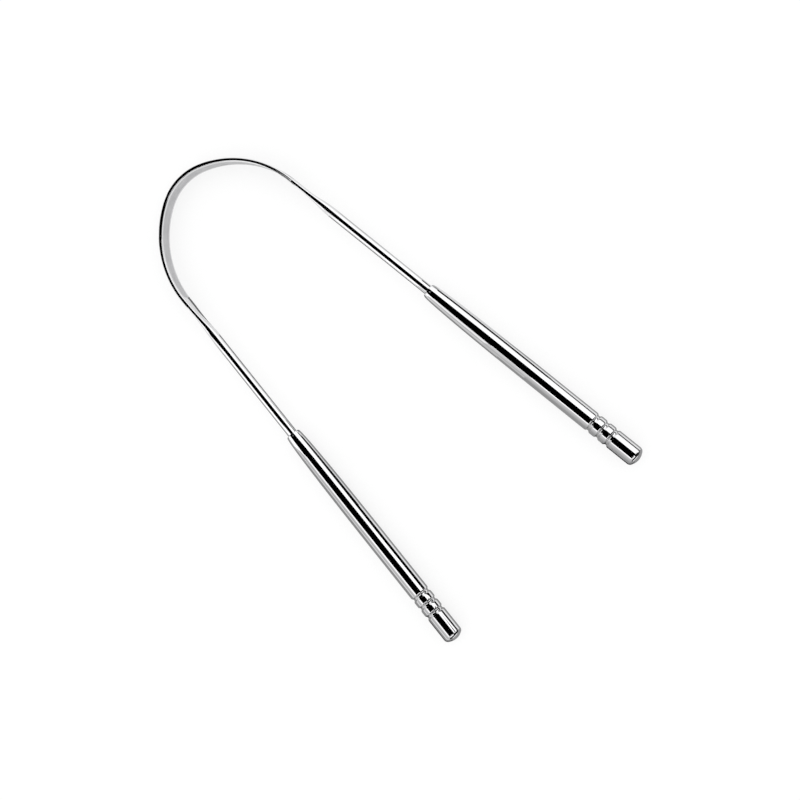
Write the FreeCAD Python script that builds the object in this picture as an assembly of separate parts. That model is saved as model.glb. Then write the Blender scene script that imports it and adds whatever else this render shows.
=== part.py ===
import FreeCAD, Part
import math
import os

from FreeCAD import Placement, Rotation, Vector

# Tongue scraper: a stainless rod, pressed flat in its middle and bent into a U, with a tube handle swaged
# onto each end and a domed plug in each tube's tail. Millimetres, +Z up. The U lies level with its bend
# towards +Y, and the origin is under the middle of its length, on the surface that it lies on.

# The rod, and the blade pressed from it. The blade stands on edge: its width is along Z.
rod_diameter = 3.1
blade_thickness = 1.2
blade_width = 6.2
blade_edge_round = 0.38
edge_round_limit = 0.45  # largest share of the thickness

# The bend, along the middle of the blade's thickness: a crown arc, then a wider arc down each side
crown_radius = 17.3
crown_half_angle = 26.0
side_radius = 29.9
splay_angle = 5.65

# Along each arm, from the end of the bend: pressed taper, bare rod, then the tang in the handle. The strip
# narrows over the first part of the taper, and thickens over the rest of it after a short delay.
taper_length = 18.0
narrowing_length = 14.0
thickening_delay = 4.0
taper_section_count = 8
taper_last_flat_angle = 12.0
bare_rod_length = 34.5
tang_length = 18.0
tang_chamfer = 0.4

# The handle tube, from its neck: a convex swell up to the full diameter, then a straight run
handle_diameter = 6.0
tube_wall = 0.5
neck_wall = 0.6
neck_round = 0.2
swell_length = 40.0
swell_neck_rise = 0.45
swell_neck_reach = 1.0
swell_blend_length = 26.0
straight_run = 19.7

# The bore that grips the tang, and the cone that opens it into the hollow of the tube
grip_length = 16.0
grip_clearance = 0.02
cone_length = 6.0

# The rolled grooves, with beads as wide as the tube between them
groove_count = 3
groove_pitch = 3.2
groove_width = 1.8
groove_depth = 0.42

# The tail: the tube past the last groove, and the domed plug that closes it
tail_run = 7.0
dome_depth = 1.9
dome_crown_angle = 35.0
plug_clearance = 0.02
plug_chamfer = 0.3

# Worked out from the sizes above
rod_radius = rod_diameter / 2
handle_radius = handle_diameter / 2
bore_radius = handle_radius - tube_wall
grip_radius = rod_radius + grip_clearance
neck_radius = grip_radius + neck_wall
edge_round = min(blade_edge_round, edge_round_limit * blade_thickness)
groove_root_radius = handle_radius - groove_depth
turn_angle = 90.0 - splay_angle
neck_station = taper_length + bare_rod_length

# Stations along the handle, from its neck
groove_stations = [
    swell_length + straight_run + groove_width / 2 + groove_pitch * index for index in range(groove_count)
]
seam_station = groove_stations[-1] + groove_width / 2 + tail_run
tail_station = seam_station + dome_depth

# Each groove leaves a round bead inside the tube. The last one is the plug's stop.
inner_bead_radius = groove_width / 2 + tube_wall
inner_bead_centre = groove_root_radius - tube_wall + inner_bead_radius
inner_bead_half_width = math.sqrt(2 * inner_bead_radius * groove_depth - groove_depth**2)


def on_arc(centre, radius, degrees):
    """Point of a level arc, at an angle turned from the crown of the U towards +X."""
    angle = math.radians(degrees)
    return centre + Vector(radius * math.sin(angle), radius * math.cos(angle), 0)


def line(start, end):
    return Part.LineSegment(start, end).toShape()


def arc(start, middle, end):
    return Part.Arc(start, middle, end).toShape()


def section_wire(points, edge_is_arc):
    """Closed wire from the start and middle points of its edges, each of them an arc or a straight line."""
    edges = []
    for index, curved in enumerate(edge_is_arc):
        first = points[2 * index]
        middle = points[2 * index + 1]
        last = points[(2 * index + 2) % len(points)]
        edges.append(arc(first, middle, last) if curved else line(first, last))
    return Part.Wire(edges)


def strip_section(station, thickness, width, corner_radius):
    """Rounded rectangle square to X, with its thickness along Y and its width along Z."""
    flat_y = thickness / 2 - corner_radius
    flat_z = width / 2 - corner_radius
    reach = corner_radius * math.sqrt(0.5)
    points = []
    for sign_y, sign_z in ((1, 1), (-1, 1), (-1, -1), (1, -1)):
        beside = Vector(station, sign_y * thickness / 2, sign_z * flat_z)
        above = Vector(station, sign_y * flat_y, sign_z * width / 2)
        corner = Vector(station, sign_y * (flat_y + reach), sign_z * (flat_z + reach))
        along_edge = Vector(station, 0, sign_z * width / 2)
        along_face = Vector(station, sign_y * thickness / 2, 0)
        if sign_y * sign_z > 0:
            points += [beside, corner, above, along_edge]
        else:
            points += [above, corner, beside, along_face]
    return section_wire(points, [True, False] * 4)


def round_section(station, radius, flat_angle):
    """Circle square to X, cut into as many edges as a strip section: four corners and four short flats."""
    points = []
    for quarter_start in (0.0, 90.0, 180.0, 270.0):
        for turn in (flat_angle / 2, 45.0, 90.0 - flat_angle / 2, 90.0):
            angle = math.radians(quarter_start + turn)
            points.append(Vector(station, radius * math.cos(angle), radius * math.sin(angle)))
    return section_wire(points, [True] * 8)


def ease(share):
    """Smooth step from 0 to 1, flat at both ends."""
    held = min(max(share, 0.0), 1.0)
    return held**2 * (3 - 2 * held)


def oval_arcs(half_short, half_long, crown_angle):
    """Quarter of an oval from two tangent arcs: the end arc's offset and radius, then the crown arc's.

    The crown arc starts on the short axis and spans crown_angle, and the end arc goes on to the long axis.
    """
    half_angle = math.radians(crown_angle) / 2
    end_offset = (half_long - half_short) / (1 - math.tan(half_angle))
    end_radius = half_long - end_offset
    crown_offset = end_offset / math.tan(2 * half_angle)
    crown_arc_radius = end_offset / math.sin(2 * half_angle) + end_radius
    return end_offset, end_radius, crown_offset, crown_arc_radius


def rim(station, radius):
    """Point of a turned outline, which lies in the XZ plane with its axis along X."""
    return Vector(station, 0, radius)


def eased_step(start, end):
    """Two equal arcs that carry a turned outline from one radius to another, level at both ends."""
    length = end.x - start.x
    rise = end.z - start.z
    half_turn = math.atan2(abs(rise), length)
    radius = (length**2 + rise**2) / (4 * abs(rise))
    quarter = rim(radius * math.sin(half_turn), math.copysign(radius * (1 - math.cos(half_turn)), rise))
    middle = (start + end) / 2
    return [arc(start, start + quarter, middle), arc(middle, end - quarter, end)]


def turned(edges):
    """Solid of revolution about X from a closed outline."""
    return Part.Face(Part.Wire(edges)).revolve(Vector(0, 0, 0), Vector(1, 0, 0), 360)


def closed_by_lines(edges, points):
    """The edges, with straight lines from their last point through the given points back to their start."""
    corners = [edges[-1].Vertexes[-1].Point] + points + [edges[0].Vertexes[0].Point]
    return edges + [line(first, second) for first, second in zip(corners, corners[1:])]


# The bend's centres, with the crown of the U at the origin until the end of this script
crown_centre = Vector(0, -crown_radius, 0)
side_centre = on_arc(crown_centre, crown_radius - side_radius, crown_half_angle)
bend_end = on_arc(side_centre, side_radius, turn_angle)
arm_direction = Vector(math.cos(math.radians(turn_angle)), -math.sin(math.radians(turn_angle)), 0)


def mirrored_point(point):
    return Vector(-point.x, point.y, point.z)


def bend_arcs(offset):
    """The bend's side, crown and side arcs from left to right, moved outwards from the middle line."""
    crown_end = on_arc(crown_centre, crown_radius + offset, crown_half_angle)
    side_middle = on_arc(side_centre, side_radius + offset, (crown_half_angle + turn_angle) / 2)
    side_end = on_arc(side_centre, side_radius + offset, turn_angle)
    return [
        arc(mirrored_point(side_end), mirrored_point(side_middle), mirrored_point(crown_end)),
        arc(mirrored_point(crown_end), Vector(0, offset, 0), crown_end),
        arc(crown_end, side_middle, side_end),
    ]


def make_blade():
    """The flat strip on edge, bent round the U from one pressed taper to the other, with its edges eased."""
    outer = bend_arcs(blade_thickness / 2)
    inner = bend_arcs(-blade_thickness / 2)
    ends = [
        line(outer[0].Vertexes[0].Point, inner[0].Vertexes[0].Point),
        line(outer[-1].Vertexes[-1].Point, inner[-1].Vertexes[-1].Point),
    ]
    plan = Part.Face(Part.Wire(Part.sortEdges(outer + inner + ends)[0]))
    plan.translate(Vector(0, 0, -blade_width / 2))
    strip = plan.extrude(Vector(0, 0, blade_width))
    long_edges = [edge for edge in strip.Edges if isinstance(edge.Curve, Part.Circle)]
    return strip.makeFillet(edge_round, long_edges)


def make_shank():
    """The rod's end along X: the pressed taper from the strip to the round rod, then the rod and its tang."""
    last_corner_radius = rod_radius * (1 - math.sin(math.radians(taper_last_flat_angle / 2)))
    sections = []
    for index in range(taper_section_count - 1):
        station = taper_length * index / (taper_section_count - 1)
        narrowed = ease(station / narrowing_length)
        thickened = ease((station - thickening_delay) / (taper_length - thickening_delay))
        sections.append(
            strip_section(
                station,
                blade_thickness + (rod_diameter - blade_thickness) * thickened,
                blade_width + (rod_diameter - blade_width) * narrowed,
                edge_round + (last_corner_radius - edge_round) * thickened,
            )
        )
    sections.append(round_section(taper_length, rod_radius, taper_last_flat_angle))
    taper = Part.makeLoft(sections, True, False)
    rod_end = neck_station + tang_length
    rod_side = line(rim(taper_length, rod_radius), rim(rod_end - tang_chamfer, rod_radius))
    rod_ends = [rim(rod_end, rod_radius - tang_chamfer), rim(rod_end, 0), rim(taper_length, 0)]
    rod = turned(closed_by_lines([rod_side], rod_ends))
    return taper.fuse(rod).removeSplitter()


def tube_outline():
    """The outside of the handle tube, from its neck's face to the seam: rounding, swell, grooves and tail."""
    swell = Part.BezierCurve()
    swell.setPoles(
        [
            rim(neck_round, neck_radius),
            rim(neck_round + swell_neck_reach, neck_radius + swell_neck_rise),
            rim(swell_length - swell_blend_length, handle_radius),
            rim(swell_length, handle_radius),
        ]
    )
    sagitta = neck_round * (1 - math.sqrt(0.5))
    neck_face_edge = rim(0, neck_radius - neck_round)
    neck_arc = arc(neck_face_edge, rim(sagitta, neck_radius - sagitta), rim(neck_round, neck_radius))
    outline = [neck_arc, swell.toShape()]
    last = rim(swell_length, handle_radius)
    for station in groove_stations:
        near_lip = rim(station - groove_width / 2, handle_radius)
        far_lip = rim(station + groove_width / 2, handle_radius)
        root = rim(station, groove_root_radius)
        outline += [line(last, near_lip)] + eased_step(near_lip, root) + eased_step(root, far_lip)
        last = far_lip
    return outline + [line(last, rim(seam_station, handle_radius))]


def make_handle_tube():
    """The tube along X from its neck, with the tang's grip and the hollow inside it."""
    tube = turned(closed_by_lines(tube_outline(), [rim(seam_station, 0), rim(0, 0)]))
    grip = line(rim(0, grip_radius), rim(grip_length, grip_radius))
    hollow_corners = [
        rim(grip_length + cone_length, bore_radius),
        rim(seam_station, bore_radius),
        rim(seam_station, 0),
        rim(0, 0),
    ]
    hollow = turned(closed_by_lines([grip], hollow_corners))
    for station in groove_stations:
        bead = Part.makeTorus(inner_bead_centre, inner_bead_radius, rim(station, 0), Vector(1, 0, 0))
        hollow = hollow.cut(bead)
    return tube.cut(hollow)


# The tail's dome: the offset and radius of the arc at its corner, then of the one over its crown
corner_offset, corner_radius, crown_offset, dome_radius = oval_arcs(
    dome_depth, handle_radius, dome_crown_angle
)


def dome_outline():
    """The plug's domed head, from the seam's rim round the corner and over the crown to the axis."""

    def on_corner(degrees):
        angle = math.radians(degrees)
        return rim(
            seam_station + corner_radius * math.cos(angle), corner_offset + corner_radius * math.sin(angle)
        )

    def on_crown(degrees):
        angle = math.radians(degrees)
        return rim(seam_station - crown_offset + dome_radius * math.cos(angle), dome_radius * math.sin(angle))

    meeting = on_crown(dome_crown_angle)
    return [
        arc(on_corner(90.0), on_corner((90.0 + dome_crown_angle) / 2), meeting),
        arc(meeting, on_crown(dome_crown_angle / 2), on_crown(0.0)),
    ]


def make_end_plug():
    """The plug along X, in the tube's stations: its domed head, and a spigot up to the last inner bead."""
    spigot_radius = bore_radius - plug_clearance
    spigot_end = groove_stations[-1] + inner_bead_half_width + plug_clearance
    corners = [
        rim(spigot_end, 0),
        rim(spigot_end, spigot_radius - plug_chamfer),
        rim(spigot_end + plug_chamfer, spigot_radius),
        rim(seam_station, spigot_radius),
    ]
    return turned(closed_by_lines(dome_outline(), corners))


# The finished frame: the middle of the length at y 0, and the lowest edge at z 0
dome_centre = bend_end + arm_direction * (neck_station + tail_station - dome_radius)
front_reach = blade_thickness / 2
back_reach = dome_centre.y - dome_radius
frame_shift = Vector(0, -(front_reach + back_reach) / 2, max(blade_width, handle_diameter) / 2)


def placed_on_arm(shape, station, side):
    """A shape made along X, set on the left (-1) or right (1) arm at a station from the end of the bend."""
    end = bend_end if side > 0 else mirrored_point(bend_end)
    direction = arm_direction if side > 0 else mirrored_point(arm_direction)
    angle = math.degrees(math.atan2(direction.y, direction.x))
    placed = shape.copy()
    placed.Placement = Placement(end + direction * station + frame_shift, Rotation(Vector(0, 0, 1), angle))
    return placed


os.makedirs("parts", exist_ok=True)

blade = make_blade()
blade.translate(frame_shift)
blade.exportStep("parts/scraper_blade.step")

shank = make_shank()
handle_tube = make_handle_tube()
end_plug = make_end_plug()
for side_name, side in (("left", -1), ("right", 1)):
    placed_on_arm(shank, 0, side).exportStep(f"parts/{side_name}_shank.step")
    placed_on_arm(handle_tube, neck_station, side).exportStep(f"parts/{side_name}_handle_tube.step")
    placed_on_arm(end_plug, neck_station, side).exportStep(f"parts/{side_name}_end_plug.step")

for name, shape in (("blade", blade), ("shank", shank), ("handle tube", handle_tube), ("end plug", end_plug)):
    print(name, "solids", len(shape.Solids), "valid", shape.isValid(), "volume", round(shape.Volume, 2))
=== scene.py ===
import math

import bpy
from mathutils import Matrix, Vector


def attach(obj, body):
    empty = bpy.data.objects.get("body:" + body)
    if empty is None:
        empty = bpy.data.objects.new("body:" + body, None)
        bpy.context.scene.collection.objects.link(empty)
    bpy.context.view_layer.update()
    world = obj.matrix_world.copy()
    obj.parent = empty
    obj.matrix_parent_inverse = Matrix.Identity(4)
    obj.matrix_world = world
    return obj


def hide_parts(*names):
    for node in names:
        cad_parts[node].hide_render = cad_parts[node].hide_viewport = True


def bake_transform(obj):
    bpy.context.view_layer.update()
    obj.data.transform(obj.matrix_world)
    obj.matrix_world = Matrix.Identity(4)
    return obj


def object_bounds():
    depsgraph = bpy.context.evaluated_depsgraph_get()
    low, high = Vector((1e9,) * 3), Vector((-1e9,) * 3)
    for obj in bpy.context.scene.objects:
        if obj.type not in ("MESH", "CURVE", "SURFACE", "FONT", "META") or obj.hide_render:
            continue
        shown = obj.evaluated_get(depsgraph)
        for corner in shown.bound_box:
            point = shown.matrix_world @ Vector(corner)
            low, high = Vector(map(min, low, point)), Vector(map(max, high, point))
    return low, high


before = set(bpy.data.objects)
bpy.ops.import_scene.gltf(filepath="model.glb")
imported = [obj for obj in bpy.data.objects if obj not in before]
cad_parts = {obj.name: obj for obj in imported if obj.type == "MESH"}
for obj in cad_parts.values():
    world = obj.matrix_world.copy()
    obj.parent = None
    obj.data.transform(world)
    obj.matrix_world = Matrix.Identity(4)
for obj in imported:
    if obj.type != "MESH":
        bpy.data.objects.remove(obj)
cad_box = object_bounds()

# The blade: the middle of a stainless rod, pressed flat into a thin strip and bent into a U that stands on
# edge. The press leaves its broad faces satin, and its long edges are buffed bright. It is shown as two
# halves that meet at the crown.
mm = 0.001
arms = (("left", -1), ("right", 1))
blade_thickness = 1.2 * mm
blade_width = 6.2 * mm
blade_edge_round = 0.38 * mm
edge_round_steps = 6
crown_radius = 17.3 * mm
crown_half_angle = math.radians(26.0)
side_radius = 29.9 * mm
splay_angle = 5.65
arm_turn = math.radians(90 - splay_angle)
bend_steps = 128
crisp_angle = math.radians(40)

# The frame's origin is the middle of the footprint, so the bend reaches as far ahead as the tails do behind.
tail_reach = -cad_box[0][1]
middle_height = blade_width / 2
crown = Vector((0, tail_reach - blade_thickness / 2, middle_height))
crown_length = crown_radius * crown_half_angle
half_length = crown_length + side_radius * (arm_turn - crown_half_angle)
crown_centre = crown - Vector((0, crown_radius, 0))
side_centre = crown_centre + (crown_radius - side_radius) * Vector(
    (math.sin(crown_half_angle), math.cos(crown_half_angle), 0)
)

satin_half_width = 2.15 * mm
satin_end_margin = 0.3 * mm
satin_half_length = half_length - satin_end_margin
satin_corner = 0.9 * mm
satin_fade = 0.08 * mm
satin_border = (satin_corner - satin_fade, satin_corner + satin_fade)
satin_grey = (0.57, 0.57, 0.58, 1)
satin_light_grey = (0.69, 0.69, 0.70, 1)
bright_steel = (0.92, 0.92, 0.93, 1)
satin_roughness = (0.30, 0.42)
buffed_roughness = (0.03, 0.07)
press_lines_per_metre = (6000, 1, 220)
press_line_depth = 0.02 * mm
press_line_strength = 0.25
buffed_line_share = 0.06
blade_clouds_per_metre = (420, 1, 300)
marks_span = (0.3, 0.7)


def eased(share):
    """Smooth step from 0 to 1, level at both ends."""
    held = min(max(share, 0.0), 1.0)
    return held**2 * (3 - 2 * held)


def bend_point(length, side):
    """Point of the strip's middle line, at a length from the crown towards the left (-1) or right (1) arm."""
    if length < crown_length:
        angle = length / crown_radius
        point = crown_centre + crown_radius * Vector((math.sin(angle), math.cos(angle), 0))
    else:
        angle = crown_half_angle + (length - crown_length) / side_radius
        point = side_centre + side_radius * Vector((math.sin(angle), math.cos(angle), 0))
    return Vector((side * point.x, point.y, point.z))


def add_node(tree, kind, inputs=None, **properties):
    """A node with its properties set, and each input set to a value or joined to another node's output."""
    node = tree.nodes.new(kind)
    for name, value in properties.items():
        setattr(node, name, value)
    for name, value in (inputs or {}).items():
        if isinstance(value, bpy.types.NodeSocket):
            tree.links.new(value, node.inputs[name])
        else:
            node.inputs[name].default_value = value
    return node


def new_shape_tree(name, sizes):
    """A Geometry Nodes tree that turns a drawn line into a piece, with named inputs for its sizes."""
    tree = bpy.data.node_groups.new(name, "GeometryNodeTree")
    tree.interface.new_socket(name="Line", in_out="INPUT", socket_type="NodeSocketGeometry")
    for size, kind in sizes.items():
        tree.interface.new_socket(name=size, in_out="INPUT", socket_type=kind)
    tree.interface.new_socket(name="Finish", in_out="INPUT", socket_type="NodeSocketMaterial")
    tree.interface.new_socket(name="Piece", in_out="OUTPUT", socket_type="NodeSocketGeometry")
    return tree, tree.nodes.new("NodeGroupInput").outputs


def end_shape_tree(tree, surface, finish):
    """Keeps hard corners crisp, and ends the tree in real geometry with its finish."""
    angle = add_node(tree, "GeometryNodeInputMeshEdgeAngle")
    corner = add_node(
        tree,
        "FunctionNodeCompare",
        {0: angle.outputs["Unsigned Angle"], 1: crisp_angle},
        data_type="FLOAT",
        operation="GREATER_THAN",
    )
    smooth = add_node(tree, "GeometryNodeSetShadeSmooth", {0: surface, "Shade Smooth": True}, domain="FACE")
    crisp = add_node(
        tree,
        "GeometryNodeSetShadeSmooth",
        {0: smooth.outputs[0], "Selection": corner.outputs["Result"], "Shade Smooth": False},
        domain="EDGE",
    )
    real = add_node(tree, "GeometryNodeRealizeInstances", {"Geometry": crisp.outputs[0]})
    finished = add_node(
        tree, "GeometryNodeSetMaterial", {"Geometry": real.outputs["Geometry"], "Material": finish}
    )
    output = tree.nodes.new("NodeGroupOutput")
    tree.links.new(finished.outputs["Geometry"], output.inputs["Piece"])


def shaped_piece(name, points, closed, tree, sizes, finish):
    """The plain mesh that a shape tree makes from a drawn line, with its flats kept flat under the gloss."""
    count = len(points)
    edge_count = count if closed else count - 1
    line = bpy.data.meshes.new(name)
    line.from_pydata(points, [(index, (index + 1) % count) for index in range(edge_count)], [])
    drawn = bpy.data.objects.new(name + "_line", line)
    bpy.context.scene.collection.objects.link(drawn)
    shaping = drawn.modifiers.new("shape", "NODES")
    shaping.node_group = tree
    for socket in tree.interface.items_tree:
        if socket.in_out == "INPUT" and socket.name != "Line":
            shaping[socket.identifier] = finish if socket.name == "Finish" else sizes[socket.name]
    flats = drawn.modifiers.new("flats", "WEIGHTED_NORMAL")
    flats.keep_sharp = True
    depsgraph = bpy.context.evaluated_depsgraph_get()
    mesh = bpy.data.meshes.new_from_object(
        drawn.evaluated_get(depsgraph), preserve_all_data_layers=True, depsgraph=depsgraph
    )
    bpy.data.objects.remove(drawn)
    piece = bpy.data.objects.new(name, mesh)
    bpy.context.scene.collection.objects.link(piece)
    return piece


strip_tree, given = new_shape_tree(
    "bent_strip",
    {"Thickness": "NodeSocketFloat", "Width": "NodeSocketFloat", "Edge Round": "NodeSocketFloat"},
)
bend = add_node(strip_tree, "GeometryNodeMeshToCurve", {"Mesh": given["Line"]})
level_bend = add_node(
    strip_tree, "GeometryNodeSetCurveNormal", {"Curve": bend.outputs["Curve"]}, mode="Z_UP"
)
bend_length = add_node(strip_tree, "GeometryNodeSplineParameter")
measured_bend = add_node(
    strip_tree,
    "GeometryNodeStoreNamedAttribute",
    {"Geometry": level_bend.outputs["Curve"], "Name": "along", "Value": bend_length.outputs["Length"]},
    data_type="FLOAT",
    domain="POINT",
)
section = add_node(
    strip_tree,
    "GeometryNodeCurvePrimitiveQuadrilateral",
    {"Width": given["Thickness"], "Height": given["Width"]},
)
eased_section = add_node(
    strip_tree,
    "GeometryNodeFilletCurve",
    {"Curve": section.outputs["Curve"], "Count": edge_round_steps, "Radius": given["Edge Round"]},
    mode="POLY",
)
strip = add_node(
    strip_tree,
    "GeometryNodeCurveToMesh",
    {
        "Curve": measured_bend.outputs["Geometry"],
        "Profile Curve": eased_section.outputs["Curve"],
        "Fill Caps": True,
    },
)
strip_point = add_node(strip_tree, "GeometryNodeInputPosition")
strip_axes = add_node(strip_tree, "ShaderNodeSeparateXYZ", {"Vector": strip_point.outputs["Position"]})
strip_along = add_node(strip_tree, "GeometryNodeInputNamedAttribute", {"Name": "along"}, data_type="FLOAT")
unrolled = add_node(
    strip_tree,
    "ShaderNodeCombineXYZ",
    {"X": strip_axes.outputs["Z"], "Z": strip_along.outputs["Attribute"]},
)
marked_strip = add_node(
    strip_tree,
    "GeometryNodeStoreNamedAttribute",
    {"Geometry": strip.outputs["Mesh"], "Name": "piece_place", "Value": unrolled.outputs["Vector"]},
    data_type="FLOAT_VECTOR",
    domain="POINT",
)
end_shape_tree(strip_tree, marked_strip.outputs["Geometry"], given["Finish"])


def worked_out(tree, operation, first, second=0.0):
    """The output of a Math node, with numbers or other outputs to work on."""
    return add_node(tree, "ShaderNodeMath", {0: first, 1: second}, operation=operation).outputs[0]


def ranged(tree, value, span, target=(0.0, 1.0), shape="LINEAR"):
    """A value carried from one span to another."""
    node = add_node(
        tree,
        "ShaderNodeMapRange",
        {
            "Value": value,
            "From Min": span[0],
            "From Max": span[1],
            "To Min": target[0],
            "To Max": target[1],
        },
        interpolation_type=shape,
    )
    return node.outputs["Result"]


def marks(tree, place, per_metre, detail, roughness):
    """Fine random marks over a piece, with their number per metre along each axis of its own place."""
    stretched = add_node(tree, "ShaderNodeMapping", {"Vector": place, "Scale": per_metre})
    node = add_node(
        tree,
        "ShaderNodeTexNoise",
        {"Vector": stretched.outputs["Vector"], "Scale": 1.0, "Detail": detail, "Roughness": roughness},
    )
    return node.outputs["Fac"]


def mixed_colour(tree, factor, first, second):
    """A colour between two others."""
    return add_node(tree, "ShaderNodeMix", {0: factor, 6: first, 7: second}, data_type="RGBA").outputs[2]


def mixed_value(tree, factor, first, second):
    """A number between two others."""
    return add_node(tree, "ShaderNodeMix", {0: factor, 2: first, 3: second}, data_type="FLOAT").outputs[0]


def new_steel(name):
    """A bare metal material: itself, its tree, its shader, and each point's place along the piece."""
    steel = bpy.data.materials.new(name)
    steel.use_nodes = True
    shader = steel.node_tree.nodes["Principled BSDF"]
    shader.inputs["Metallic"].default_value = 1.0
    place = add_node(steel.node_tree, "ShaderNodeAttribute", attribute_name="piece_place")
    return steel, steel.node_tree, shader, place.outputs["Vector"]


blade_steel, tree, shader, place = new_steel("satin_blade_steel")
axes = add_node(tree, "ShaderNodeSeparateXYZ", {"Vector": place})
from_middle = worked_out(tree, "ABSOLUTE", worked_out(tree, "SUBTRACT", axes.outputs["X"], middle_height))
past_width = worked_out(
    tree, "MAXIMUM", worked_out(tree, "SUBTRACT", from_middle, satin_half_width - satin_corner)
)
past_length = worked_out(
    tree, "MAXIMUM", worked_out(tree, "SUBTRACT", axes.outputs["Z"], satin_half_length - satin_corner)
)
past_corner = worked_out(
    tree,
    "SQRT",
    worked_out(
        tree,
        "ADD",
        worked_out(tree, "MULTIPLY", past_width, past_width),
        worked_out(tree, "MULTIPLY", past_length, past_length),
    ),
)
buffed = ranged(tree, past_corner, satin_border, shape="SMOOTHSTEP")
press_lines = marks(tree, place, press_lines_per_metre, detail=4.0, roughness=0.6)
cloudy = marks(tree, place, blade_clouds_per_metre, detail=3.0, roughness=0.55)
satin_colour = mixed_colour(tree, ranged(tree, cloudy, marks_span), satin_grey, satin_light_grey)
tree.links.new(mixed_colour(tree, buffed, satin_colour, bright_steel), shader.inputs["Base Color"])
satin_gloss = ranged(tree, press_lines, marks_span, satin_roughness)
buffed_gloss = ranged(tree, press_lines, marks_span, buffed_roughness)
tree.links.new(mixed_value(tree, buffed, satin_gloss, buffed_gloss), shader.inputs["Roughness"])
line_height = worked_out(tree, "MULTIPLY", press_lines, mixed_value(tree, buffed, 1.0, buffed_line_share))
blade_bump = add_node(
    tree,
    "ShaderNodeBump",
    {"Strength": press_line_strength, "Distance": press_line_depth, "Height": line_height},
)
tree.links.new(blade_bump.outputs["Normal"], shader.inputs["Normal"])

for side_name, side in arms:
    half_blade = shaped_piece(
        side_name + "_half_blade",
        [bend_point(half_length * eased(step / bend_steps), side) for step in range(bend_steps + 1)],
        False,
        strip_tree,
        {"Thickness": blade_thickness, "Width": blade_width, "Edge Round": blade_edge_round},
        blade_steel,
    )
    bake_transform(half_blade)
    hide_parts("scraper_blade")


# The shanks: the two ends of the same rod. The flat strip draws in and thickens into the round rod over a
# short pressed taper, and the rod runs on into the handle as its tang. Both are buffed to a mirror, with
# faint polishing lines along them.
rod_radius = 1.55 * mm
taper_length = 18.0 * mm
narrowing_length = 14.0 * mm
thickening_delay = 4.0 * mm
bare_rod_length = 34.5 * mm
tang_length = 18.0 * mm
tang_chamfer = 0.4 * mm
rod_corner_share = 0.9
shank_length = taper_length + bare_rod_length + tang_length
straight_length = shank_length - tang_chamfer - taper_length
taper_steps = 72
straight_steps = 24
corner_steps = 12
flat_support = 0.06 * mm
largest_support_share = 0.25

dull_steel = (0.80, 0.80, 0.81, 1)
dull_span = (0.45, 0.8)
polishing_lines_per_metre = (2600, 2600, 26)
polishing_line_depth = 0.01 * mm
polishing_line_span = (0.3, 0.75)
polishing_line_roughness = (0.015, 0.05)
rod_line_strength = 0.10
polish_clouds_per_metre = (130, 130, 60)
cloud_span = (0.4, 0.8)
cloud_roughness = (0.0, 0.035)


def shank_ring(station):
    """Points round the shank at a station: a rounded rectangle that turns into the rod's circle."""
    narrowed = eased(station / narrowing_length)
    thickened = eased((station - thickening_delay) / (taper_length - thickening_delay))
    half_thick = blade_thickness / 2 + (rod_radius - blade_thickness / 2) * thickened
    half_wide = blade_width / 2 + (rod_radius - blade_width / 2) * narrowed
    corner = blade_edge_round + (rod_corner_share * rod_radius - blade_edge_round) * thickened
    ring = []
    for quarter, (sign_x, sign_y) in enumerate(((1, 1), (-1, 1), (-1, -1), (1, -1))):
        centre = Vector((sign_x * (half_thick - corner), sign_y * (half_wide - corner)))
        for step in range(corner_steps + 1):
            angle = math.radians(90 * (quarter + step / corner_steps))
            ring.append(centre + corner * Vector((math.cos(angle), math.sin(angle))))
        if quarter % 2 == 0:
            flat = Vector((-sign_x * 2 * (half_thick - corner), 0))
        else:
            flat = Vector((0, -sign_y * 2 * (half_wide - corner)))
        support = min(flat_support / flat.length, largest_support_share)
        last = ring[-1]
        ring += [last + flat * share for share in (support, 0.5, 1 - support)]
    return [point.lerp(point.normalized() * rod_radius, thickened**2) for point in ring]


def arm_matrix(side, station):
    """Where a piece made along -Z goes, with its start at a station of the arm past the end of the bend."""
    direction = Vector((side * math.cos(arm_turn), -math.sin(arm_turn), 0))
    across = direction.cross(Vector((0, 0, 1)))
    turn = Matrix((across, Vector((0, 0, 1)), -direction)).transposed()
    return Matrix.Translation(bend_point(half_length, side) + direction * station) @ turn.to_4x4()


def polished_steel(name, line_strength):
    """Mirror-buffed steel: lengthwise polishing lines, and faint clouds where the wheel passed."""
    steel, tree, shader, place = new_steel(name)
    lines = marks(tree, place, polishing_lines_per_metre, detail=4.0, roughness=0.55)
    clouds = marks(tree, place, polish_clouds_per_metre, detail=3.0, roughness=0.5)
    tree.links.new(
        mixed_colour(tree, ranged(tree, clouds, dull_span), bright_steel, dull_steel),
        shader.inputs["Base Color"],
    )
    gloss = worked_out(
        tree,
        "ADD",
        ranged(tree, lines, polishing_line_span, polishing_line_roughness),
        ranged(tree, clouds, cloud_span, cloud_roughness),
    )
    tree.links.new(gloss, shader.inputs["Roughness"])
    bump = add_node(
        tree,
        "ShaderNodeBump",
        {"Strength": line_strength, "Distance": polishing_line_depth, "Height": lines},
    )
    tree.links.new(bump.outputs["Normal"], shader.inputs["Normal"])
    return steel


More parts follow.
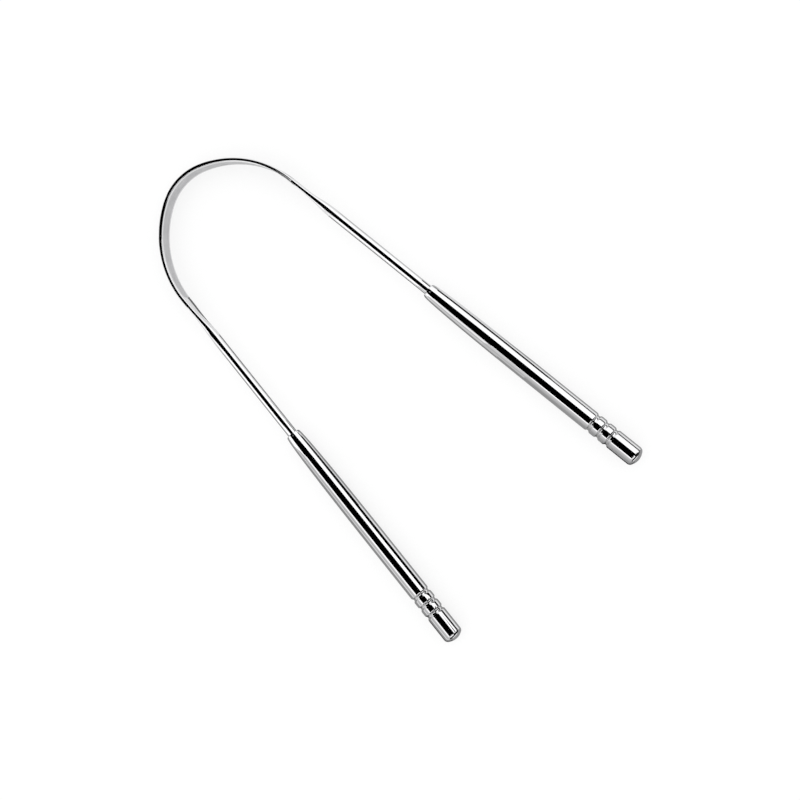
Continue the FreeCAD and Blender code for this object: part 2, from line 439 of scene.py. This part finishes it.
rod_steel = polished_steel("polished_rod_steel", rod_line_strength)
ring_stations = [taper_length * step / taper_steps for step in range(taper_steps)]
ring_stations += [
    taper_length + straight_length * step / straight_steps for step in range(straight_steps + 1)
]
shank_rings = [[(*point, -station) for point in shank_ring(station)] for station in ring_stations]
tang_end_share = 1 - tang_chamfer / rod_radius
tang_end = [(*(point * tang_end_share), -shank_length) for point in shank_ring(shank_length)]
shank_rings.append(tang_end)
ring_size = len(tang_end)
shank_points = [point for ring in shank_rings for point in ring]
shank_faces = [
    (
        ring * ring_size + index,
        (ring + 1) * ring_size + index,
        (ring + 1) * ring_size + (index + 1) % ring_size,
        ring * ring_size + (index + 1) % ring_size,
    )
    for ring in range(len(shank_rings) - 1)
    for index in range(ring_size)
]
shank_faces.append(tuple(range(ring_size)))
shank_faces.append(tuple(reversed(range(len(shank_points) - ring_size, len(shank_points)))))

for side_name, side in arms:
    shank_mesh = bpy.data.meshes.new(side_name + "_bright_shank")
    shank_mesh.from_pydata(shank_points, [], shank_faces)
    shank_place = shank_mesh.attributes.new("piece_place", "FLOAT_VECTOR", "POINT")
    shank_place.data.foreach_set("vector", [value for point in shank_points for value in point])
    shank_mesh.transform(arm_matrix(side, 0.0))
    shank_mesh.shade_smooth()
    shank_mesh.set_sharp_from_angle(angle=crisp_angle)
    shank_mesh.materials.append(rod_steel)
    bright_shank = bpy.data.objects.new(side_name + "_bright_shank", shank_mesh)
    bpy.context.scene.collection.objects.link(bright_shank)
    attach(bright_shank, side_name + "_arm")
    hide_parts(side_name + "_shank")


# The handle tubes: thin stainless tube, swaged down at the neck until it grips the rod's tang. It swells to
# its full diameter, has three grooves rolled in near the tail, and is buffed to a mirror.
neck_station = taper_length + bare_rod_length
handle_radius = 3.0 * mm
tube_wall = 0.5 * mm
bore_radius = handle_radius - tube_wall
grip_clearance = 0.02 * mm
grip_radius = rod_radius + grip_clearance
grip_length = 16.0 * mm
cone_length = 6.0 * mm
neck_wall = 0.6 * mm
neck_radius = grip_radius + neck_wall
neck_round = 0.2 * mm
swell_length = 40.0 * mm
swell_neck_rise = 0.45 * mm
swell_neck_reach = 1.0 * mm
swell_blend_length = 26.0 * mm
straight_run = 19.7 * mm
groove_count = 3
groove_pitch = 3.2 * mm
groove_width = 1.8 * mm
groove_depth = 0.42 * mm
groove_root_radius = handle_radius - groove_depth
first_groove = swell_length + straight_run + groove_width / 2
groove_stations = [first_groove + groove_pitch * index for index in range(groove_count)]
inner_bead_radius = groove_width / 2 + tube_wall
inner_bead_centre = groove_root_radius - tube_wall + inner_bead_radius
tail_run = 7.0 * mm
seam_station = groove_stations[-1] + groove_width / 2 + tail_run
seam_round = 0.03 * mm
handle_line_strength = 0.12

# How finely the tube is drawn. Points crowd towards the neck, where the swell turns fastest.
neck_round_steps = 6
swell_steps = 60
swell_crowding = 1.5
groove_steps = 7
inner_bead_steps = 8
seam_round_steps = 3
turned_sides = 128
hub_radius = 1.0 * mm
weld_distance = 0.0005 * mm

turned_tree, given = new_shape_tree(
    "turned_piece",
    {
        "Sides": "NodeSocketInt",
        "Hub Radius": "NodeSocketFloat",
        "Turn": "NodeSocketVector",
        "Place": "NodeSocketVector",
    },
)
outline = add_node(turned_tree, "GeometryNodeMeshToCurve", {"Mesh": given["Line"]})
hub = add_node(
    turned_tree,
    "GeometryNodeCurvePrimitiveCircle",
    {"Resolution": given["Sides"], "Radius": given["Hub Radius"]},
    mode="RADIUS",
)
level_hub = add_node(
    turned_tree, "GeometryNodeSetCurveNormal", {"Curve": hub.outputs["Curve"]}, mode="Z_UP"
)
spun = add_node(
    turned_tree,
    "GeometryNodeCurveToMesh",
    {"Curve": level_hub.outputs["Curve"], "Profile Curve": outline.outputs["Curve"]},
)
joined = add_node(
    turned_tree,
    "GeometryNodeMergeByDistance",
    {"Geometry": spun.outputs["Mesh"], "Distance": weld_distance},
)
spun_point = add_node(turned_tree, "GeometryNodeInputPosition")
marked_spun = add_node(
    turned_tree,
    "GeometryNodeStoreNamedAttribute",
    {"Geometry": joined.outputs["Geometry"], "Name": "piece_place", "Value": spun_point.outputs["Position"]},
    data_type="FLOAT_VECTOR",
    domain="POINT",
)
placed = add_node(
    turned_tree,
    "GeometryNodeTransform",
    {
        "Geometry": marked_spun.outputs["Geometry"],
        "Translation": given["Place"],
        "Rotation": given["Turn"],
    },
)
end_shape_tree(turned_tree, placed.outputs["Geometry"], given["Finish"])


def arc_points(station, radius, arc_radius, first_degrees, last_degrees, steps):
    """Points of an arc of a turned outline about a centre, as (radius, station)."""
    points = []
    for step in range(steps + 1):
        angle = math.radians(first_degrees + (last_degrees - first_degrees) * step / steps)
        points.append((radius + arc_radius * math.sin(angle), station + arc_radius * math.cos(angle)))
    return points


def rolled_step(first, last):
    """Points of an S of two equal arcs, level at both ends, as a roller leaves it."""
    length = last[1] - first[1]
    rise = last[0] - first[0]
    turn = 2 * math.atan2(abs(rise), length)
    arc_radius = (length**2 + rise**2) / (4 * abs(rise))
    arc = []
    for step in range(1, groove_steps + 1):
        angle = turn * step / groove_steps
        climb = math.copysign(arc_radius * (1 - math.cos(angle)), rise)
        arc.append((climb, arc_radius * math.sin(angle)))
    leaving = [(first[0] + climb, first[1] + reach) for climb, reach in arc]
    arriving = [(last[0] - climb, last[1] - reach) for climb, reach in reversed(arc[:-1])]
    return leaving + arriving + [last]


def turned_piece(name, outline, side, finish):
    """A turned piece on one arm, from (radius, station) points that close a ring or start on the axis."""
    arm = arm_matrix(side, neck_station)
    return shaped_piece(
        name,
        [(radius - hub_radius, station, 0) for radius, station in outline],
        outline[0][0] > 0,
        turned_tree,
        {
            "Sides": turned_sides,
            "Hub Radius": hub_radius,
            "Turn": arm.to_euler(),
            "Place": arm.to_translation(),
        },
        finish,
    )


tube_outline = [(grip_radius, 0.0)]
tube_outline += arc_points(neck_round, neck_radius - neck_round, neck_round, 180, 90, neck_round_steps)
swell_poles = (
    Vector((neck_radius, neck_round)),
    Vector((neck_radius + swell_neck_rise, neck_round + swell_neck_reach)),
    Vector((handle_radius, swell_length - swell_blend_length)),
    Vector((handle_radius, swell_length)),
)
for step in range(1, swell_steps + 1):
    share = (step / swell_steps) ** swell_crowding
    rest = 1 - share
    near = swell_poles[0] * rest**3 + swell_poles[1] * (3 * rest**2 * share)
    far = swell_poles[2] * (3 * rest * share**2) + swell_poles[3] * share**3
    tube_outline.append(tuple(near + far))
for groove in groove_stations:
    near_lip = (handle_radius, groove - groove_width / 2)
    root = (groove_root_radius, groove)
    far_lip = (handle_radius, groove + groove_width / 2)
    tube_outline += [near_lip] + rolled_step(near_lip, root) + rolled_step(root, far_lip)
tube_outline += arc_points(
    seam_station - seam_round, handle_radius - seam_round, seam_round, 90, 0, seam_round_steps
)
tube_outline.append((bore_radius, seam_station))
inner_bead_angle = math.degrees(math.asin((inner_bead_centre - bore_radius) / inner_bead_radius))
for groove in reversed(groove_stations):
    tube_outline += arc_points(
        groove,
        inner_bead_centre,
        inner_bead_radius,
        -inner_bead_angle,
        inner_bead_angle - 180,
        inner_bead_steps,
    )
tube_outline += [(bore_radius, grip_length + cone_length), (grip_radius, grip_length)]

handle_steel = polished_steel("polished_handle_steel", handle_line_strength)
for side_name, side in arms:
    tube = turned_piece(side_name + "_bright_tube", tube_outline, side, handle_steel)
    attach(tube, side_name + "_arm")
    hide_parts(side_name + "_handle_tube")


# The end plugs: turned steel plugs pressed into the tails of the tubes, with a domed head as wide as the
# tube and a plain spigot inside it. The head is buffed with the tube, and only a hairline shows the seam.
dome_depth = 1.9 * mm
dome_angle = 35.0
dome_steps = 12
dome_corner_steps = 14
hairline_angle = 88.0
plug_clearance = 0.02 * mm
plug_chamfer = 0.3 * mm
spigot_radius = bore_radius - plug_clearance
inner_bead_half_width = inner_bead_radius * math.cos(math.radians(inner_bead_angle))
spigot_end = groove_stations[-1] + inner_bead_half_width + plug_clearance

half_dome_angle = math.radians(dome_angle) / 2
corner_offset = (handle_radius - dome_depth) / (1 - math.tan(half_dome_angle))
corner_radius = handle_radius - corner_offset
dome_offset = corner_offset / math.tan(2 * half_dome_angle)
dome_radius = corner_offset / math.sin(2 * half_dome_angle) + corner_radius
plug_outline = [
    (0.0, spigot_end),
    (spigot_radius - plug_chamfer, spigot_end),
    (spigot_radius, spigot_end + plug_chamfer),
    (spigot_radius, seam_station),
    (handle_radius - seam_round, seam_station),
]
plug_outline += arc_points(
    seam_station, corner_offset, corner_radius, hairline_angle, dome_angle, dome_corner_steps
)
plug_outline += arc_points(seam_station - dome_offset, 0.0, dome_radius, dome_angle, 0, dome_steps)[1:]

plug_steel = polished_steel("polished_plug_steel", handle_line_strength)
for side_name, side in arms:
    plug = turned_piece(side_name + "_bright_plug", plug_outline, side, plug_steel)
    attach(plug, side_name + "_arm")
    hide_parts(side_name + "_end_plug")


# The floor: a plain white sheet that the scraper lies on, with the same white behind it. It shows white to
# the camera and a shade darker in the metal, and it still takes the scraper's soft shadow.
floor_half = 3.0
floor_level = -0.02 * mm
floor_shade = (0.26, 0.26, 0.26, 1)
floor_glow = 0.75
mirrored_floor_glow = 0.56


def new_sheet(name, corners, material):
    """A flat sheet of the studio, not part of the scraper."""
    mesh = bpy.data.meshes.new(name)
    mesh.from_pydata(corners, [], [tuple(range(len(corners)))])
    mesh.materials.append(material)
    sheet = bpy.data.objects.new(name, mesh)
    bpy.context.scene.collection.objects.link(sheet)
    return sheet


floor_white = bpy.data.materials.new("white_floor")
floor_white.use_nodes = True
tree = floor_white.node_tree
tree.nodes.remove(tree.nodes["Principled BSDF"])
matt = add_node(tree, "ShaderNodeBsdfDiffuse", {"Color": floor_shade})
rays = add_node(tree, "ShaderNodeLightPath").outputs
mirrored = worked_out(tree, "MAXIMUM", rays["Is Glossy Ray"], rays["Is Transmission Ray"])
glow_strength = worked_out(
    tree,
    "ADD",
    worked_out(tree, "MULTIPLY", rays["Is Camera Ray"], floor_glow),
    worked_out(tree, "MULTIPLY", mirrored, mirrored_floor_glow),
)
glow = add_node(tree, "ShaderNodeEmission", {"Strength": glow_strength})
floor_surface = add_node(
    tree, "ShaderNodeAddShader", {0: matt.outputs["BSDF"], 1: glow.outputs["Emission"]}
)
tree.links.new(floor_surface.outputs["Shader"], tree.nodes["Material Output"].inputs["Surface"])
new_sheet(
    "floor",
    [
        (-floor_half, -floor_half, floor_level),
        (floor_half, -floor_half, floor_level),
        (floor_half, floor_half, floor_level),
        (-floor_half, floor_half, floor_level),
    ],
    floor_white,
)

# The studio: even white light from all round, two weak soft boxes, and plain cards that only the metal sees,
# placed in mm. Black cards overhead and at the far end draw the dark bands along the rods, handles and edges.
# Grey and dark ones beside the arms and on the floor draw the softer streaks next to those bands.
white_light = (1, 1, 1, 1)
white_light_strength = 1.0
left = -1
right = 1
black = 0.0
near_black = 0.02
overhead = 410
gap_height = overhead - 1
far_end = 1000
flag_height = 300
left_line = -95
middle_left_line = -1
middle_right_line = 1
right_line = 91
right_neck_line = 90.5
sheet_level = -0.01
rod_stretch = (14, 52)
handle_stretch = (52, 136)
tail_stretch = (119, 136)
soft_box_width = 0.5
soft_box_length = 0.9
soft_box_power = 0.35
soft_box_reach = 0.55
soft_box_height = 0.43
soft_box_tilt = math.radians(52)

world = bpy.data.worlds.new("white_studio")
bpy.context.scene.world = world
world.use_nodes = True
world.node_tree.nodes["Background"].inputs["Color"].default_value = white_light
world.node_tree.nodes["Background"].inputs["Strength"].default_value = white_light_strength


def new_card(name, corners, shade):
    """A card of one grey that only the metal sees, from the side where its corners run counter-clockwise."""
    paint = bpy.data.materials.new(name + "_paint")
    paint.use_nodes = True
    tree = paint.node_tree
    tree.nodes.remove(tree.nodes["Principled BSDF"])
    plain = add_node(tree, "ShaderNodeEmission", {"Color": (shade, shade, shade, 1), "Strength": 1.0})
    back = add_node(tree, "ShaderNodeBsdfTransparent")
    faced = add_node(tree, "ShaderNodeNewGeometry")
    one_sided = add_node(
        tree,
        "ShaderNodeMixShader",
        {0: faced.outputs["Backfacing"], 1: plain.outputs["Emission"], 2: back.outputs["BSDF"]},
    )
    tree.links.new(one_sided.outputs["Shader"], tree.nodes["Material Output"].inputs["Surface"])
    card = new_sheet(name, [Vector(corner) * mm for corner in corners], paint)
    card.visible_camera = False
    card.visible_diffuse = False
    card.visible_transmission = False
    card.visible_shadow = False


def level_card(name, outline, height, shade):
    """A level card: its front is down where its outline, as drawn from above, runs clockwise, and else up."""
    new_card(name, [(x, y, height) for x, y in outline], shade)


def standing_card(name, start, end, low, high, shade):
    """A card standing over a line on the floor, with its front to the right of the way from start to end."""
    new_card(name, [(*start, low), (*end, low), (*end, high), (*start, high)], shade)


def streaked_card(name, start, end, streaks):
    """A standing card in level streaks, each with its low edge, its high edge and its shade."""
    for low, high, shade in streaks:
        standing_card(name, start, end, low, high, shade)


def floor_card(name, side, stations, offsets, shade):
    """A card lying along an arm, between two stations and two offsets towards +X from the arm's middle."""
    first, last = stations
    low, high = offsets
    outline = []
    for station, offset in ((first, low), (last, low), (last, high), (first, high)):
        corner = arm_matrix(side, station * mm).to_translation() / mm
        outline.append((corner.x + offset, corner.y))
    level_card(name, outline, sheet_level, shade)


level_card(
    "black_overhead_card",
    [
        (-250, -150),
        (-250, 98),
        (-340, 122),
        (-340, far_end),
        (250, far_end),
        (235, 105),
        (262, 75),
        (262, -150),
    ],
    overhead,
    black,
)
level_card(
    "black_left_wing", [(-330, -620), (-700, -620), (-700, -170), (-330, -150)], overhead, black
)
level_card(
    "black_right_wing",
    [(110, -150), (262, -150), (700, -170), (700, -620), (110, -620)],
    overhead,
    black,
)
level_card(
    "black_end_bar", [(-700, -1800), (-700, -430), (700, -430), (700, -1800)], overhead, black
)
level_card("grey_gap", [(-44, 164), (-44, 196), (4, 196), (4, 164)], gap_height, 0.52)
standing_card("black_far_card", (-340, far_end), (250, far_end), 0, overhead, black)
standing_card("black_left_flag", (-160, -420), (-350, -200), 0, flag_height, near_black)
standing_card("black_right_flag", (350, -200), (160, -420), 0, flag_height, near_black)

# Cards to the left of the left arm, between the arms, and to the right of the right arm.
streaked_card(
    "streaked_left_card",
    (left_line, -130),
    (left_line, 16),
    ((0, 9, 0.28), (9, 27, 0.72), (27, 50, 0.48), (50, 76, 0.66)),
)
standing_card("low_left_card", (left_line, 16), (left_line, 90), 0, 9, 0.30)
standing_card("black_left_bend_card", (left_line, 66), (left_line, 170), 40, 100, black)
middle_profile = [(5, 0), (-110, 0), (-110, 11), (-67, 11), (-65, 18), (-40, 18), (5, 7)]
new_card("black_middle_card", [(middle_left_line, y, height) for y, height in middle_profile], black)
streaked_card(
    "streaked_middle_card",
    (middle_right_line, -110),
    (middle_right_line, -39),
    ((0, 9, 0.34), (9, 19, 0.45), (19, 32, 0.54), (32, 40, 0.72)),
)
streaked_card(
    "streaked_swell_card",
    (middle_right_line, -39),
    (middle_right_line, -22),
    ((0, 9, 0.57), (9, 19, 0.50), (19, 34, 0.66), (34, 44, 0.80), (46, 57, black)),
)
streaked_card(
    "streaked_neck_card",
    (middle_right_line, -22),
    (middle_right_line, 5),
    ((0, 9, 0.68), (9, 18, 0.52), (18, 38, 0.97), (38, 53, black)),
)
standing_card("black_rod_card", (middle_right_line, 5), (middle_right_line, 44), 33, 47, black)
standing_card("dark_right_card", (right_line, 12), (right_line, -130), 0, 12, near_black)
standing_card("dark_right_neck_card", (right_neck_line, 21), (right_neck_line, -34), 0, 15, black)

# Cards on the floor beside the handles, the rods and the left taper, and beyond the tails.
# The grey and dark floor cards next to the arms, the tails and the left taper are painted shadow: in the
# metal they stand for the floor's shade close round the scraper, which the glowing floor shows only faintly.
# The black ones paint dark reflected bands.
floor_card("grey_left_of_left_handle", left, (52, 119), (-62, -3), 0.28)
floor_card("grey_left_of_left_tail", left, tail_stretch, (-62, -13), 0.28)
floor_card("dark_left_of_left_tail", left, tail_stretch, (-13, -3), 0.06)
floor_card("grey_right_of_left_handle", left, handle_stretch, (2, 8), 0.30)
floor_card("black_right_of_left_neck", left, (52, 82), (15, 31), 0.03)
floor_card("black_right_of_left_tail", left, (82, 136), (23, 36), 0.03)
floor_card("grey_left_of_right_neck", right, (52, 80), (-33, -12), 0.50)
floor_card("dark_left_of_right_neck", right, (52, 80), (-12, -3), 0.24)
floor_card("grey_left_of_right_handle", right, (80, 119), (-33, -3), 0.30)
floor_card("grey_left_of_right_tail", right, tail_stretch, (-33, -9), 0.30)
floor_card("dark_left_of_right_tail", right, tail_stretch, (-9, -3), 0.03)
level_card(
    "grey_right_of_right_handle",
    [(39.7, -14.5), (35.3, -40.3), (39.6, -84.1), (46.6, -84.1)],
    sheet_level,
    0.33,
)
level_card(
    "black_right_of_right_neck",
    [(45, 7), (59, -41), (right_neck_line, -34), (right_neck_line, 21)],
    0,
    black,
)
floor_card("black_right_of_right_handle", right, handle_stretch, (38, 60), near_black)
floor_card("grey_left_of_left_rod", left, rod_stretch, (-40, -4), 0.30)
floor_card("dark_right_of_left_rod", left, rod_stretch, (4, 10), 0.08)
floor_card("dark_right_of_left_taper", left, (-1, 14), (0.75, 1.3), 0.15)
floor_card("dark_left_of_right_rod", right, rod_stretch, (-14, -5), 0.05)
floor_card("grey_right_of_right_rod", right, rod_stretch, (6, 15), 0.40)
level_card(
    "grey_beyond_tails", [(-110, -150), (110, -150), (110, -78), (-110, -78)], sheet_level, 0.3
)

for side_name, side in arms:
    light = bpy.data.lights.new(side_name + "_soft_box", "AREA")
    light.shape = "RECTANGLE"
    light.size = soft_box_width
    light.size_y = soft_box_length
    light.energy = soft_box_power
    soft_box = bpy.data.objects.new(side_name + "_soft_box", light)
    soft_box.location = (side * soft_box_reach, 0.0, soft_box_height)
    soft_box.rotation_euler = (0, side * soft_box_tilt, 0)
    bpy.context.scene.collection.objects.link(soft_box)

bpy.context.scene.view_settings.view_transform = "Standard"

# The camera: a normal lens held above the scraper, a little to the right of it and behind its middle. It is
# turned so that the bend points to the upper left of the picture.
camera_place = Vector((60.861, -65.009, 343.303)) * mm
camera_look = Vector((-0.17228, 0.137123, -0.975457)).normalized()
rough_camera_up = Vector((0.710473, 0.703221, -0.026626))
camera_right = camera_look.cross(rough_camera_up).normalized()
camera_up = camera_right.cross(camera_look)
lens = bpy.data.cameras.new("photo_camera")
lens.sensor_width = 36.0
lens.lens = 53.88
lens.clip_start = 10 * mm
photo_camera = bpy.data.objects.new("photo_camera", lens)
photo_camera.matrix_world = Matrix.Translation(camera_place) @ (
    Matrix((camera_right, camera_up, -camera_look)).transposed().to_4x4()
)
bpy.context.scene.collection.objects.link(photo_camera)
bpy.context.scene.camera = photo_camera
